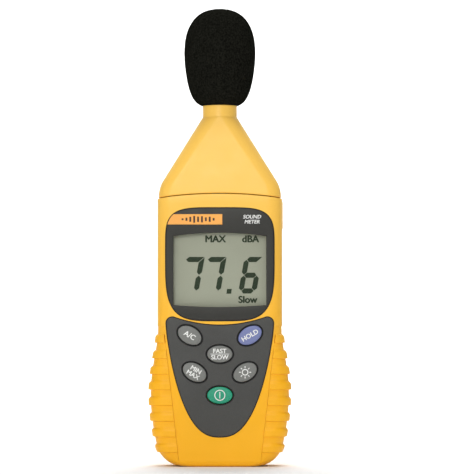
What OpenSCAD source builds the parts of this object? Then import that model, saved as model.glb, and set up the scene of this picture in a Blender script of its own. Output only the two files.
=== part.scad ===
// Hand-held sound level meter. It stands on its foot with +Z along its length, its display
// faces -Y, and the origin is the middle of the foot. All lengths are millimetres.

/* [Case] */
// Width of the case above the grip
body_w = 63; // [58:1:76]
// Depth of the case from front face to back face
body_d = 33; // [33:0.5:42]
// Height of the seam between case and nose, on the centre line
seam_z = 137.2; // [134:0.2:170]
// How far the seam drops from the centre line to the sides
seam_bow = 2.3; // [0:0.1:4]
// Wall thickness of the case mouldings
wall = 2.4; // [2:0.1:3]
// Corner radius of the case, seen from above
edge_r = 7; // [5:0.5:9]
// Radius of the two bottom corners, seen from the front
bottom_r = 10; // [6:0.5:14]
// Radius of the front and back edges at the foot
foot_r = 3; // [1:0.5:4]

/* [Nose] */
// Slope of the nose's sides, from vertical
nose_slope = 31.4; // [26:0.2:36]
// Radius of the shoulder where the nose starts to taper
shoulder_r = 15.4; // [10:0.2:20]
// Step in from the case to the nose, each side
nose_step = 0.6; // [0:0.1:1.5]
// Radius of the neck that the windscreen sits on
neck_r = 8.7; // [8.2:0.1:10]
// Length of the neck above the nose
neck_h = 14; // [11:0.5:18]

/* [Windscreen] */
// Greatest diameter of the foam ball
foam_d = 36.3; // [30:0.1:44]
// Height of the foam ball
foam_h = 50; // [46:0.5:60]
// Height of its widest place above its bottom
foam_wide_z = 26.2; // [22:0.2:32]

/* [Grip] */
// Height of the side grips
grip_h = 70.6; // [64:0.2:84]
// How far each side bulges at its fullest height
grip_bulge = 3.7; // [1:0.1:5]
// Fullest height of the bulge
full_z = 37; // [28:1:45]
// How far each side draws in from there to the foot
foot_taper = 6.4; // [3:0.1:8]
// Thickness of the soft grip
grip_t = 1.2; // [0.8:0.1:1.4]
// Step from the case down to the grip's surface
grip_step = 0.3; // [0:0.1:0.6]
// How far the grip wraps onto the front at its top
wrap_top = 3.3; // [2:0.1:4]
// How far the grip wraps onto the front at its foot
wrap_low = 11.3; // [8:0.1:13]
// Number of ribs on each side
rib_count = 8; // [4:1:8]
// Distance from rib to rib
rib_pitch = 7.85; // [6.5:0.05:8.2]
// Height of one rib
rib_z = 4.4; // [3:0.1:5]
// How far a rib stands out
rib_out = 1.15; // [0.5:0.05:1.5]

/* [Display] */
// Width of the bezel
bezel_w = 54.1; // [50:0.1:56]
// Height of the bezel
bezel_h = 56.5; // [52:0.5:58]
// Distance from the seam down to the bezel
bezel_drop = 7.4; // [6:0.1:12]
// Thickness of the bezel
bezel_t = 1.8; // [1.2:0.1:2]
// How far the bezel and the keypad stand proud of the case
face_proud = 0.3; // [0.1:0.1:0.5]
// Width of the window
window_w = 46.6; // [40:0.2:47]
// Height of the window on its centre line
window_h = 37.3; // [30:0.1:38]
// Distance from the top of the bezel down to the window
window_drop = 12.4; // [11:0.1:15]
// Thickness of the clear lens
lens_t = 1; // [0.8:0.1:1.4]

/* [Keypad] */
// Width of the keypad panel at its shoulders
panel_w = 53.6; // [50:0.1:56]
// Height of the shoulders
panel_z = 72; // [68:0.2:73]
// Lowest point of the panel
panel_low = 15.1; // [12:0.1:20]
// Thickness of the panel
panel_t = 1.4; // [1:0.1:1.6]
// Half the length of a key
key_a = 6.35; // [5:0.05:7]
// Half the height of a key
key_b = 4.25; // [3.5:0.05:4.8]
// Gap round a key in its hole
key_gap = 0.45; // [0.35:0.05:0.6]
// How far a key stands above the panel
key_out = 1; // [0.9:0.05:1.4]
// Travel of a key
key_travel = 0.8; // [0.4:0.05:0.9]
// Tilt of the four outer keys
key_tilt = 30; // [0:5:35]
// Distance of the two top keys from the centre line
key_x_top = 15.1; // [14:0.1:16]
// Distance of the two lower keys from the centre line
key_x_low = 12.65; // [12:0.05:14]

/* [Electronics] */
// Gap from each side of the body to the edge of the main board
board_gap = 5.5; // [4.5:0.25:8.5]
// Thickness of the boards
board_t = 1.6; // [1:0.1:1.6]
// Distance from the front face back to the main board
board_depth = 8.5; // [8.5:0.1:9.5]
// Radius of the microphone, a half-inch type
mic_r = 6.6; // [6:0.05:6.8]
// Radius of the output jack's hole, for a 3.5 mm plug
jack_r = 1.9; // [1.8:0.05:2]

/* [Battery] */
// Width of the battery, a nine-volt block
batt_w = 26.5; // [24:0.5:28]
// Thickness of the battery
batt_t = 17.5; // [15:0.5:17.5]
// Height of the battery without its terminals
batt_h = 46.4; // [42:0.2:48]

/* [Mounting] */
// Radius of the tripod thread, a quarter-inch type
tripod_r = 3.175; // [3:0.005:3.3]
// Depth of the tripod thread
tripod_depth = 8; // [6:0.5:8]
// Height of the tripod socket
tripod_z = 98; // [90:1:108]

/* [Fits] */
// Gap between parts that are fastened together
fit_gap = 0.1; // [0.05:0.01:0.2]
// Gap round parts that move
run_gap = 0.3; // [0.2:0.05:0.4]

/* [Hidden] */

$fn = 64;
eps = 0.02;      // slice thickness in a loft, and overlap of pieces that are joined
thick_eps = 0.12; // the same where the sides are nearly upright
root = 0.4;      // how far a post runs into the wall it stands on
big = 300;       // larger than the meter, for cutting blocks

case_tint = "#f9c95c";
grip_tint = "#fcb82d";
dark_tint = "#3b3b37";
panel_tint = "#4a4c49";
key_tint = "#8a8d88";
board_tint = "#1f6b3a";
metal_tint = "#b8bcc0";
gold_tint = "#c9a14a";
black_tint = "#1c1c1b";

// Height of the small step above which the case has its full, even width
step_z = grip_h - 1;

// Planes along the depth
front_y = -body_d / 2;
back_y = body_d / 2;
inner_y = front_y + wall;
board_y = front_y + board_depth;
board_w = body_w - 2 * board_gap;
board_back = board_y + board_t;
face_y = front_y - face_proud;

// Nose and microphone heights
shoulder_z = seam_z - 1.2;
nose_half = body_w / 2 - nose_step;
cone_half = neck_r + 0.3;
cone_z = shoulder_z + shoulder_r * sin(nose_slope);
cone_w = nose_half - shoulder_r * (1 - cos(nose_slope));
nose_z = cone_z + (cone_w - cone_half) / tan(nose_slope);
neck_z = nose_z + neck_h;
capsule_r = mic_r - 0.6;
sleeve_r = mic_r + 0.25;
sleeve_low = nose_z - 8;
preamp_top = mix(cone_z, nose_z, 0.7);
sleeve_z = neck_z + 18;
grid_z = sleeve_z + 5;
gasket_t = 1.5;
foam_z = neck_z - 8.4;

// Display and keypad heights
bezel_z = seam_z - bezel_drop;
bezel_mid = bezel_z - 0.386 * bezel_h;
window_z = bezel_z - window_drop;
window_low = window_z - window_h;
lens_y = face_y + bezel_t;
lens_grow = 0.9;
lcd_y = max(lens_y + lens_t, inner_y) + fit_gap;
lcd_w = window_w + 1;
key_z_top = panel_z - 6.1;
key_z_mid = panel_z - 15.5;
key_z_low = panel_z - 24.6;
key_z_power = panel_z - 36.1;
// place and tilt of each key: weighting, hold, response, minimum and maximum, backlight, power
KEYS = [
    [-key_x_top, key_z_top, -key_tilt], [key_x_top, key_z_top, key_tilt],
    [0, key_z_mid, 0],
    [-key_x_low, key_z_low, -key_tilt], [key_x_low, key_z_low, key_tilt],
    [0, key_z_power, 0]
];
panel_back = face_y + panel_t;
flange = 0.85;
flange_t = 0.8;
flange_y = inner_y + run_gap;
dome_y = flange_y + flange_t + key_travel + run_gap;

// Side cover, jack and trimmer
cover_z = seam_z - 3.2;
cover_h = 14.8;
cover_half = 4.8;
cover_t = 1.5;
cover_sink = 1.1;
jack_z = cover_z - 5.2;
jack_barrel = 3;
trimmer_z = cover_z - 11.6;
side_y = -1.5;
side_x = body_w / 2 - cover_sink;

// Battery bay and door
tray_wall = 1.2;
batt_y = board_back + 0.3 + tray_wall + fit_gap + 0.2;
batt_low = 10;
batt_z = batt_low + batt_h;
door_half = batt_w / 2 + 3.25;
door_low = 7.5;
door_z = batt_z + 9.6;
door_t = wall - run_gap;
hinge_z = door_z - run_gap;
tab_t = 1.9;
tab_reach = 3;

// Screw places: [x, z]
low_post_x = door_half + 2.7;
CASE_POSTS = [
    [-16, seam_z - 7.7], [16, seam_z - 7.7],
    [-low_post_x, 13], [low_post_x, 13]
];
BOARD_POSTS = [
    [-(board_w / 2 - 2), 73.5], [board_w / 2 - 2, 73.5],
    [-(board_w / 2 - 6), 24], [board_w / 2 - 6, 24]
];
post_r = 3;
screw_r = 1.25;
head_r = 2.2;
head_t = 1.6;
small_post_r = 2.2;
small_screw_r = 0.95;

function mix(a, b, t) = a + (b - a) * t;

// Depth of a quarter round of radius r at height z above its foot
function quarter(r, z) = z < r ? r - sqrt(r * r - (r - z) * (r - z)) : 0;

// Bulge of the side: a parabola below the fullest height and a softer fall above it
function bulge_at(z) =
    z < full_z ? grip_bulge - foot_taper * pow((full_z - z) / full_z, 2)
    : z < step_z ? grip_bulge * pow(1 - pow((z - full_z) / (step_z - full_z), 2), 2)
    : 0;

// Below the foot the outline stays as it is at the foot
function case_half_w(z) = let (h = max(0, z))
    body_w / 2 - (h < step_z ? grip_step : 0) + bulge_at(h) - quarter(bottom_r, h);
function case_half_d(z) = body_d / 2 - quarter(foot_r, max(0, z));

function nose_half_w(z) =
    z < shoulder_z ? nose_half
    : z < cone_z ? nose_half - shoulder_r + sqrt(pow(shoulder_r, 2) - pow(z - shoulder_z, 2))
    : cone_w - (z - cone_z) * tan(nose_slope);
function nose_part(z) = min(1, max(0, (z - shoulder_z) / (nose_z - shoulder_z)));
function nose_half_d(z) = mix(body_d / 2 - nose_step / 2, cone_half, pow(nose_part(z), 1.25));
function nose_edge(z) = mix(edge_r, cone_half, nose_part(z));

function seam_at(x) = seam_z - seam_bow * pow(x / (body_w / 2), 2);

// A rounded rectangle of half sizes w and d as a ring of points
function ring(w, d, r, steps = 5) = [
    for (q = [0:3], i = [0:steps])
        let (a = 90 * q + 90 * i / steps, sx = q == 0 || q == 3 ? 1 : -1, sy = q < 2 ? 1 : -1)
            [sx * (w - r) + r * cos(a), sy * (d - r) + r * sin(a)]
];

function ellipse(a, b, steps = 40) = [
    for (i = [0:steps - 1]) [a * cos(360 * i / steps), b * sin(360 * i / steps)]
];

// The bezel is a superellipse, squarer above its middle than below it
function power_of(v, n) = sign(v) * pow(abs(v), 2 / n);
function bezel_points(grow, steps = 56) = [
    for (i = [0:steps - 1])
        let (a = 360 * i / steps, n = sin(a) > 0 ? 4.5 : 4.1,
             rise = sin(a) > 0 ? bezel_z - bezel_mid : bezel_mid - bezel_z + bezel_h)
            [(bezel_w / 2 + grow) * power_of(cos(a), n),
             bezel_mid + (rise + grow) * power_of(sin(a), n)]
];

// The window has straight sides and slightly bowed ends
function window_points(grow, steps = 8) = let (half = window_w / 2 + grow) concat(
    [for (i = [0:steps]) let (u = 2 * i / steps - 1) [u * half, window_z + grow - 1.7 * u * u]],
    [for (i = [0:steps]) let (u = 1 - 2 * i / steps) [u * half, window_low - grow + u * u]]
);

// Right side of the keypad panel, from its lowest point up to the shoulder's round corner
panel_corner = 3;
function panel_side(grow, steps = 18) = [
    for (i = [0:steps])
        let (a = 90 * i / steps, u = pow(cos(a), 2 / 1.35))
            [(panel_w / 2 + grow) * pow(sin(a), 0.8), panel_z - (panel_z - panel_low + grow) * u]
];
function panel_shoulder(grow, steps = 5) = [
    for (i = [1:steps])
        let (a = 100 * i / steps, r = panel_corner + grow)
            [panel_w / 2 - panel_corner + r * cos(a), panel_z + r * sin(a)]
];
// The top edge sags in a parabola between the two shoulders
function panel_top(grow, steps = 5) = let (
    x_end = panel_w / 2 - panel_corner + (panel_corner + grow) * cos(100),
    z_end = panel_z + (panel_corner + grow) * sin(100),
    z_mid = panel_z - 1.1 + grow
) [for (i = [1:steps]) let (u = 1 - i / steps) [x_end * u, mix(z_mid, z_end, u * u)]];
function flipped(points) = [
    for (i = [len(points) - 2:-1:1]) [-points[i][0], points[i][1]]
];
function panel_points(grow) = let (
    half = concat(panel_side(grow), panel_shoulder(grow), panel_top(grow))
) concat(half, flipped(half));

// Foam ball: one superellipse above the widest place, one that tapers below it
function foam_points(steps = 13) = concat(
    [for (i = [0:steps])
        let (a = 90 - 90 * i / steps)
            [foam_d / 2 * pow(cos(a), 2 / 2.45),
             foam_z + foam_wide_z + (foam_h - foam_wide_z) * pow(sin(a), 2 / 2.45)]],
    [for (i = [1:steps])
        let (a = 90 * i / steps, v = pow(sin(a), 0.4))
            [foam_d / 2 * (1 - 0.22 * pow(v, 1.5)) * pow(cos(a), 0.4),
             foam_z + foam_wide_z * (1 - v)]]
);

// Extrudes a front-view outline from depth y0 back to depth y1
module plate(y0, y1) {
    translate([0, y1, 0]) rotate([90, 0, 0]) linear_extrude(y1 - y0) children();
}

// A round bar along the depth
module rod(x, z, y0, y1, r) {
    translate([x, y0, z]) rotate([-90, 0, 0]) cylinder(h = y1 - y0, r = r);
}

// A round bar along the width
module cross_rod(x0, x1, y, z, r) {
    translate([x0, y, z]) rotate([0, 90, 0]) cylinder(h = x1 - x0, r = r);
}

module box(x0, x1, y0, y1, z0, z1) {
    translate([x0, y0, z0]) cube([x1 - x0, y1 - y0, z1 - z0]);
}

module slice(z, w, d, r) {
    translate([0, 0, z]) linear_extrude(z < 10 ? eps : thick_eps) polygon(ring(w, d, r));
}

// The case's outer form, grown or shrunk, lofted through the given heights
module case_form(heights, grow = 0) {
    for (i = [0:len(heights) - 2]) {
        hull() {
            for (z = [heights[i], heights[i + 1]]) {
                slice(z, case_half_w(z) + grow, case_half_d(z) + grow, edge_r + grow);
            }
        }
    }
}

module nose_form(heights, grow = 0) {
    for (i = [0:len(heights) - 2]) {
        hull() {
            for (z = [heights[i], heights[i + 1]]) {
                slice(z, nose_half_w(z) + grow, nose_half_d(z) + grow, nose_edge(z) + grow);
            }
        }
    }
}

case_heights = concat(
    [0, 0.25, 0.8, 1.7, 3, 5.5, 8, 11, 16, 22, 29, full_z, full_z + 7, full_z + 14, full_z + 21],
    [full_z + 27, grip_h - 0.5, seam_z + eps]
);
core_heights = concat([-1], case_heights);
hollow_heights = concat([wall], [for (z = case_heights) if (z > wall) z], [seam_z + 1]);
nose_heights = concat(
    [seam_z - seam_bow - 1, shoulder_z],
    [for (i = [1:5]) mix(shoulder_z, cone_z, i / 5)],
    [for (i = [1:4]) mix(cone_z, nose_z, i / 4)]
);

// Everything below the seam, lowered by a gap
module below_seam(gap) {
    span = body_w / 2 + 2;
    plate(-big / 2, big / 2) polygon(concat(
        [[-big, -big]],
        [[-big, seam_at(span) - gap]],
        [for (i = [-8:8]) [span * i / 8, seam_at(span * i / 8) - gap]],
        [[big, seam_at(span) - gap]],
        [[big, -big]]
    ));
}

// The zone of one side grip: outside a sloping line, below the grip's top
module grip_zone(side, gap) {
    plate(-big / 2, big / 2) polygon([
        [side * (body_w / 2 - wrap_low + gap), -1],
        [side * big, -1],
        [side * big, grip_h - gap],
        [side * (body_w / 2 - wrap_top + gap), grip_h - gap]
    ]);
}

module at_key(i) {
    translate([KEYS[i][0], KEYS[i][1]]) rotate(KEYS[i][2]) children();
}

// Half of the case moulding: side -1 is the front, side 1 is the back
module case_half(side) {
    difference() {
        intersection() {
            case_form(case_heights);
            below_seam(fit_gap / 2);
            translate([-big / 2, side > 0 ? fit_gap / 2 : -big - fit_gap / 2, -1]) cube(big);
        }
        case_form(hollow_heights, -wall);
        for (s = [-1, 1]) {
            difference() {
                grip_zone(s, 0);
                case_form(core_heights, -grip_t);
            }
        }
        box(side_x, big, -cover_half, cover_half, cover_z - cover_h, cover_z);
        cross_rod(0, big, side_y, jack_z, jack_barrel + 0.2);
        cross_rod(0, big, side_y, trimmer_z, 2);
    }
}

module front_case() color(case_tint) {
    difference() {
        union() {
            case_half(-1);
            for (p = CASE_POSTS) rod(p[0], p[1], inner_y - root, -fit_gap / 2, post_r);
            for (p = BOARD_POSTS) {
                rod(p[0], p[1], inner_y - root, board_y - fit_gap / 2, small_post_r);
            }
        }
        plate(front_y - 1, lens_y + fit_gap / 2) polygon(bezel_points(fit_gap));
        plate(front_y - 1, inner_y + root) polygon(window_points(lens_grow + fit_gap));
        plate(front_y - 1, panel_back + fit_gap / 2) polygon(panel_points(fit_gap));
        for (i = [0:5]) {
            plate(front_y - 1, inner_y + root) at_key(i) polygon(ellipse(key_a + 0.6, key_b + 0.6));
        }
        for (p = CASE_POSTS) rod(p[0], p[1], front_y + wall, 1, screw_r + fit_gap);
        for (p = BOARD_POSTS) rod(p[0], p[1], front_y + wall, 1, small_screw_r + fit_gap);
    }
}

module rear_case() color(case_tint) {
    difference() {
        union() {
            case_half(1);
            for (p = CASE_POSTS) rod(p[0], p[1], fit_gap / 2, back_y - wall + root, post_r);
            rod(0, tripod_z, back_y - tripod_depth - 1.5, back_y - wall + root, 7);
        }
        box(-door_half, door_half, back_y - wall - 1, big, door_low, door_z);
        rod(0, tripod_z, -1, big, 5 + fit_gap);
        for (p = CASE_POSTS) {
            rod(p[0], p[1], -1, big, screw_r + 0.25);
            rod(p[0], p[1], back_y - head_t - 0.5, big, head_r + 0.2);
        }
    }
}

module nose_cone() color(case_tint) {
    tongue = [seam_z - seam_bow - 2.2, seam_z + 2];
    difference() {
        union() {
            difference() {
                nose_form(nose_heights);
                below_seam(-fit_gap / 2);
            }
            translate([0, 0, nose_z]) cylinder(h = neck_h, r = neck_r);
            hull() {
                for (z = tongue) {
                    slice(z, body_w / 2 - wall - 0.2, body_d / 2 - wall - 0.2, edge_r - wall - 0.2);
                }
            }
        }
        nose_form([for (z = nose_heights) if (z < nose_z - 4) z], -wall - 1.2);
        slice_low = tongue[0] - 1;
        hull() {
            for (z = [slice_low, seam_z + 3]) {
                slice(z, body_w / 2 - wall - 1.3, body_d / 2 - wall - 1.3, edge_r - wall - 1.3);
            }
        }
        translate([0, 0, shoulder_z]) cylinder(h = big, r = sleeve_r + 0.15);
        translate([0, 0, neck_z - gasket_t]) cylinder(h = big, r = neck_r - 0.6);
    }
}

// Height of the middle of rib i, counted down from the top
function rib_mid(i) = grip_h - 6.4 - rib_pitch * i;
// A rib has a steep lower edge and a softer upper one
function rib_steps(i) = [
    [rib_mid(i) - rib_z / 2, 0], [rib_mid(i) - rib_z / 2 + 0.25, 1],
    [rib_mid(i) + rib_z / 4, 1], [rib_mid(i) + rib_z / 2, 0]
];
grip_steps = concat(
    [for (z = [0, 0.25, 0.8, 1.7, 3, 5]) [z, 0]],
    [for (i = [rib_count - 1:-1:0], s = rib_steps(i)) s],
    [[grip_h, 0]]
);

module grip(side) color(grip_tint) {
    intersection() {
        grip_zone(side, fit_gap);
        difference() {
            for (i = [0:len(grip_steps) - 2]) {
                hull() {
                    for (s = [grip_steps[i], grip_steps[i + 1]]) {
                        out = s[1] * rib_out;
                        slice(
                            s[0], case_half_w(s[0]) + out,
                            case_half_d(s[0]) + out * 0.6, edge_r + out * 0.6
                        );
                    }
                }
            }
            case_form(core_heights, fit_gap - grip_t);
        }
    }
}

module left_grip() grip(-1);
module right_grip() grip(1);

module display_bezel() color(dark_tint) {
    plate(face_y, lens_y) {
        difference() {
            polygon(bezel_points(0));
            polygon(window_points(0));
        }
    }
}

module display_lens() color("#d8e2df", 0.35) {
    plate(lens_y + fit_gap / 2, lcd_y - fit_gap) polygon(window_points(lens_grow));
}

// Coloured label on the bezel, above the window; its outer end follows the bezel's edge
module badge_plate() color("#f0a030") {
    plate(face_y - 0.25, face_y) {
        intersection() {
            polygon(bezel_points(-0.4));
            translate([-bezel_w / 2, bezel_z - 8.3]) square([bezel_w / 2 + 1.2, 5.2]);
        }
    }
}

module lcd_frame() color(black_tint) {
    half = lcd_w / 2 + 1.1;
    low = window_low - 2.6;
    high = window_z + 2.8;
    difference() {
        box(-half, half, lcd_y, board_y - 1, low, high);
        box(-half + 1, half - 1, lcd_y + 0.3, board_y, low + 1, high - 1);
        plate(lcd_y - 1, lcd_y + 1) polygon(window_points(0.6));
    }
}

module lcd_glass() color("#a8ac98") {
    box(-lcd_w / 2, lcd_w / 2, lcd_y + 0.4, lcd_y + 2, window_low - 1.4, window_z + 1.6);
}

module backlight_panel() color("#e9ecdf") {
    box(-window_w / 2, window_w / 2, lcd_y + 2.1, lcd_y + 4.1, window_low + 1.4, window_z - 1.4);
}

// Two rubber strips that join the glass to the board
module zebra_strips() color("#777777") {
    for (z = [window_low - 0.9, window_z - 0.9]) {
        box(-window_w / 2, window_w / 2, lcd_y + 2.05, board_y - fit_gap / 2, z, z + 2);
    }
}

module keypad_panel() color(panel_tint) {
    plate(face_y, panel_back) {
        difference() {
            polygon(panel_points(0));
            for (i = [0:5]) at_key(i) polygon(ellipse(key_a + key_gap, key_b + key_gap));
        }
    }
}

module key_mat() color("#6d7073") {
    mat_low = key_z_power - key_b - 3;
    mat_high = key_z_top + key_b + 2;
    difference() {
        box(-21, 21, board_y - 1.2, board_y - fit_gap / 2, mat_low, mat_high);
        for (p = BOARD_POSTS) rod(p[0], p[1], inner_y, board_y, small_post_r + 0.3);
    }
    for (k = KEYS) rod(k[0], k[1], dome_y, board_y - 1.2 + eps, 3.2);
}

// A key: chamfered cap, straight skirt and a flange behind the case wall
module key(i, tint) color(tint) {
    cap_y = face_y - key_out;
    plate(cap_y, cap_y + 0.35) at_key(i) polygon(ellipse(key_a - 0.5, key_b - 0.5));
    plate(cap_y + 0.35, flange_y + eps) at_key(i) polygon(ellipse(key_a, key_b));
    plate(flange_y, flange_y + flange_t) {
        at_key(i) polygon(ellipse(key_a + flange, key_b + flange));
    }
}

module key_weighting() key(0, key_tint);
module key_hold() key(1, "#7a86b4");
module key_response() key(2, key_tint);
module key_minmax() key(3, key_tint);
module key_backlight() key(4, key_tint);
module key_power() key(5, "#1f9a78");

module main_board() color(board_tint) {
    difference() {
        box(-board_w / 2, board_w / 2, board_y, board_back, 20, seam_z - 1.2);
        for (p = CASE_POSTS) rod(p[0], p[1], board_y - 1, board_back + 1, post_r + 0.4);
        for (p = BOARD_POSTS) rod(p[0], p[1], board_y - 1, board_back + 1, small_screw_r + 0.2);
    }
}

module processor_chips() color(black_tint) {
    y = board_back + fit_gap / 2;
    box(-7, 7, y, y + 1.5, 76, 90);
    box(-19, -10, y, y + 1.5, 68, 74);
    box(9, 15, y, y + 1.5, 70, 75);
}

module crystal_can() color(metal_tint) {
    y = board_back + fit_gap / 2;
    box(-21, -11, y, y + 3.2, 80, 84);
}

module filter_capacitors() color("#26314f") {
    for (z = [80, 88, 96]) rod(16, z, board_back + fit_gap / 2, board_back + 7.5, 3);
}

module shield_can() color(metal_tint) {
    y = board_back + fit_gap / 2;
    difference() {
        box(-20, 6, y, y + 6, 102, 120);
        box(-19.6, 5.6, y - 1, y + 5.6, 102.4, 119.6);
    }
}

module preamp_board() color(board_tint) {
    box(-7, 7, -board_t / 2, board_t / 2, shoulder_z + 9, preamp_top);
}

// Flat ribbon from the back of the main board up to the preamplifier board
module preamp_ribbon() color("#d9d2c0") {
    y0 = board_back + fit_gap / 2;
    y1 = board_t / 2 + fit_gap / 2;
    z0 = seam_z - 9;
    z1 = shoulder_z + 14;
    t = 0.5;
    translate([-4, 0, 0]) rotate([90, 0, 90]) linear_extrude(8) polygon([
        [y0, z0], [y0 + t, z0], [y0 + t, z0 + 8], [y1 + t, z1 - 6], [y1 + t, z1],
        [y1, z1], [y1, z1 - 6 + t], [y0, z0 + 8 + t]
    ]);
}

module mic_lead() color(black_tint) {
    low = preamp_top + fit_gap;
    translate([0, 0, low]) cylinder(h = sleeve_z - 12.4 - low, r = 1.2);
}

// Tube round the capsule, thicker inside the neck than above it
module mic_sleeve() color(metal_tint) {
    translate([0, 0, sleeve_low]) difference() {
        union() {
            cylinder(h = neck_z - sleeve_low, r = sleeve_r);
            cylinder(h = sleeve_z - sleeve_low, r = mic_r);
        }
        translate([0, 0, -1]) cylinder(h = sleeve_z - sleeve_low + 2, r = capsule_r + 0.1);
    }
}

module mic_capsule() color("#8c9094") {
    translate([0, 0, sleeve_z - 12]) cylinder(h = 12, r = capsule_r);
}

// Slotted cap over the capsule
module mic_grid() color(metal_tint) {
    translate([0, 0, sleeve_z + fit_gap / 2]) difference() {
        cylinder(h = grid_z - sleeve_z, r = mic_r - 0.3);
        translate([0, 0, -1]) cylinder(h = grid_z - sleeve_z, r = capsule_r - 0.4);
        for (a = [0:30:150]) {
            rotate(a) box(-mic_r - 1, mic_r + 1, -0.4, 0.4, 1.2, 3);
        }
    }
}

module mic_gasket() color(black_tint) {
    translate([0, 0, neck_z - gasket_t + fit_gap / 2]) difference() {
        cylinder(h = gasket_t, r = neck_r - 0.7);
        translate([0, 0, -1]) cylinder(h = gasket_t + 2, r = sleeve_r + 0.05);
    }
}

module output_jack() color(black_tint) {
    x0 = side_x - 11;
    difference() {
        union() {
            box(x0, side_x - wall, board_back + fit_gap / 2, side_y + 3.2, jack_z - 3.2, jack_z + 3.2);
            cross_rod(x0, side_x - fit_gap, side_y, jack_z, jack_barrel);
        }
        cross_rod(x0 + 1, side_x + 1, side_y, jack_z, jack_r);
    }
}

module trimmer_body() color("#2c58a0") {
    x1 = side_x - wall - 1;
    box(x1 - 5.5, x1, board_back + fit_gap / 2, side_y + 2.6, trimmer_z - 2.6, trimmer_z + 2.6);
}

// Slotted brass screw that trims the calibration
module trimmer_rotor() color(gold_tint) {
    x0 = side_x - wall - 1 + run_gap / 2;
    x1 = side_x - 0.4;
    difference() {
        cross_rod(x0, x1, side_y, trimmer_z, 1.6);
        box(x1 - 0.6, x1 + 1, side_y - 0.25, side_y + 0.25, trimmer_z - 2, trimmer_z + 2);
    }
}

// Rubber cover of the jack and the trimmer, hinged at its top outer edge
module jack_cover() color(grip_tint) {
    half = cover_half - run_gap;
    box(
        side_x + fit_gap / 2, side_x + cover_t,
        -half, half, cover_z - cover_h + run_gap, cover_z - run_gap
    );
}

module windscreen() color(black_tint) {
    difference() {
        rotate_extrude() polygon(foam_points());
        translate([0, 0, foam_z - 1]) cylinder(h = neck_z + run_gap - foam_z + 1, r = neck_r + run_gap);
        translate([0, 0, foam_z - 1]) {
            cylinder(h = grid_z + 0.5 - foam_z + 1, r = mic_r + run_gap);
        }
    }
}

module battery_tray() color(black_tint) {
    half = batt_w / 2 + 0.4;
    low = batt_low - 0.4;
    high = batt_z + 6.4;
    floor_y = batt_y - 0.2;
    difference() {
        box(
            -half - tray_wall, half + tray_wall, floor_y - tray_wall, batt_y + batt_t - 2,
            low - tray_wall, high + tray_wall
        );
        box(-half, half, floor_y, big, low, high);
        box(-5, 5, floor_y, big, high - 1, high + tray_wall + 1);
    }
}

module battery() color("#40454c") {
    box(-batt_w / 2, batt_w / 2, batt_y, batt_y + batt_t, batt_low, batt_z);
    for (x = [-6.35, 6.35]) {
        translate([x, batt_y + batt_t / 2, batt_z - eps]) cylinder(h = 2, r = 2.8);
    }
}

module battery_snap() color(black_tint) {
    box(-12.5, 12.5, batt_y + 2.5, batt_y + batt_t - 2.5, batt_z + 2.1, batt_z + 5.4);
}

// Two wires from the snap over the tray to the main board
module battery_leads() color("#b03030") {
    z0 = batt_z + 5.4;
    z1 = batt_z + 13;
    y = batt_y + 4;
    for (x = [-2.5, 2.5]) {
        translate([x, y, z0 + fit_gap / 2]) cylinder(h = z1 - z0, r = 0.7);
        translate([x, y, z1]) sphere(r = 0.85);
        rod(x, z1, board_back + fit_gap / 2, y, 0.7);
    }
}

// Door that hangs from two tabs under the case wall and opens from below
module battery_door() color(case_tint) {
    half = door_half - run_gap;
    low = door_low + run_gap;
    inner = back_y - door_t;
    difference() {
        box(-half, half, inner, back_y, low, hinge_z);
        for (z = [low + 4:2:low + 10]) box(-9, 9, back_y - 0.6, back_y + 1, z, z + 0.9);
    }
    for (s = [-1, 1]) {
        x0 = s > 0 ? 4 : -12;
        box(x0, x0 + 8, inner - 0.6 - tab_t, inner + eps, hinge_z - 3, hinge_z);
        box(x0, x0 + 8, inner - 0.6 - tab_t, inner - 0.6, hinge_z - eps, hinge_z + tab_reach);
    }
}

module tripod_insert() color(gold_tint) {
    difference() {
        rod(0, tripod_z, back_y - tripod_depth - 1, back_y, 5);
        rod(0, tripod_z, back_y - tripod_depth, back_y + 1, tripod_r);
    }
}

module case_screws() color(metal_tint) {
    for (p = CASE_POSTS) {
        rod(p[0], p[1], -9, back_y - head_t - 0.4, screw_r);
        difference() {
            rod(p[0], p[1], back_y - head_t - 0.4, back_y - 0.4, head_r);
            box(p[0] - 1.5, p[0] + 1.5, back_y - 1.2, back_y, p[1] - 0.3, p[1] + 0.3);
            box(p[0] - 0.3, p[0] + 0.3, back_y - 1.2, back_y, p[1] - 1.5, p[1] + 1.5);
        }
    }
}

module board_screws() color(metal_tint) {
    y = board_back + fit_gap / 2;
    for (p = BOARD_POSTS) {
        rod(p[0], p[1], board_y - 4.5, y + eps, small_screw_r);
        difference() {
            rod(p[0], p[1], y, y + 1.2, 2);
            box(p[0] - 1.4, p[0] + 1.4, y + 0.7, y + 2, p[1] - 0.25, p[1] + 0.25);
        }
    }
}

front_case();
rear_case();
nose_cone();
left_grip();
right_grip();
display_bezel();
display_lens();
badge_plate();
lcd_frame();
lcd_glass();
backlight_panel();
zebra_strips();
keypad_panel();
key_mat();
key_weighting();
key_hold();
key_response();
key_minmax();
key_backlight();
key_power();
main_board();
processor_chips();
crystal_can();
filter_capacitors();
shield_can();
preamp_board();
preamp_ribbon();
mic_lead();
mic_sleeve();
mic_capsule();
mic_grid();
mic_gasket();
windscreen();
output_jack();
trimmer_body();
trimmer_rotor();
jack_cover();
battery_tray();
battery();
battery_snap();
battery_leads();
battery_door();
tripod_insert();
case_screws();
board_screws();
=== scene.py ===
import math

import bmesh
import bpy
import numpy as np

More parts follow.
